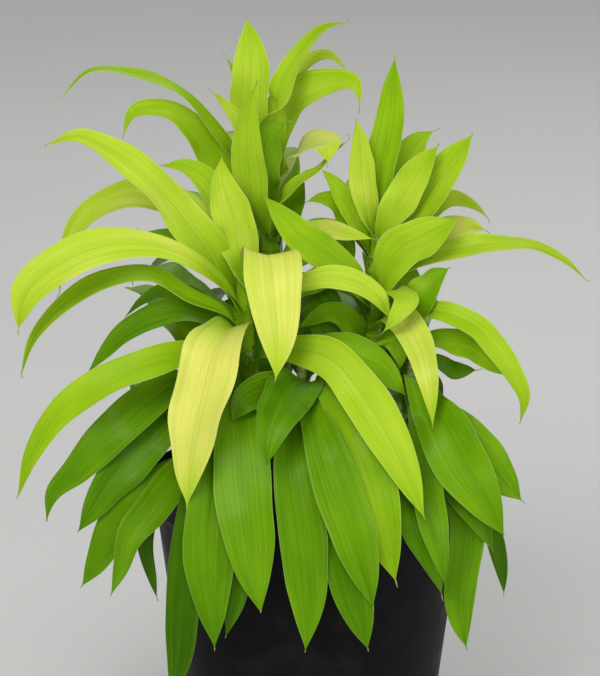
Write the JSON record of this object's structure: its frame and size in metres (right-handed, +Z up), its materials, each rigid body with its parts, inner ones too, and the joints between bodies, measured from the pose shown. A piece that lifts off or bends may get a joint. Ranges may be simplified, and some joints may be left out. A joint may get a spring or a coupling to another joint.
{
  "type": "potted limelight dracaena",
  "caption": "Bushy multi-cane foliage plant with broad arching chartreuse strap leaves, standing in potting mix in a plain black nursery pot",
  "frame": {"origin": "centre of the pot's flat underside, on the surface that the pot stands on", "axes": "+Z up along the pot's axis, +X to the right and -Y to the front of the plant as it is seen in the picture"},
  "size_m": [0.5722, 0.4443, 0.7407],
  "materials": {
    "pot_plastic": "black moulded nursery-pot plastic, semi-matt",
    "potting_mix": "damp brown potting mix with bark chips and pale specks",
    "cane_bark": "pale olive-brown cane with ring scars",
    "leaf_lime": "smooth, softly glossy chartreuse leaf with fine parallel ribs",
    "leaf_green": "smooth, glossy mid-green leaf with fine parallel ribs"
  },
  "bodies": {
    "root": {"pot": "pot_plastic", "potting_mix": "potting_mix", "cane_left": "cane_bark", "cane_back": "cane_bark", "cane_right": "cane_bark", "cane_front": "cane_bark", "cane_low_right": "cane_bark", "cane_low_left": "cane_bark", "leaves_left": "leaf_lime", "leaves_back": "leaf_lime", "leaves_right": "leaf_lime", "leaves_front": "leaf_green", "leaves_low_right": "leaf_green", "leaves_low_left": "leaf_green"}
  },
  "joints": []
}
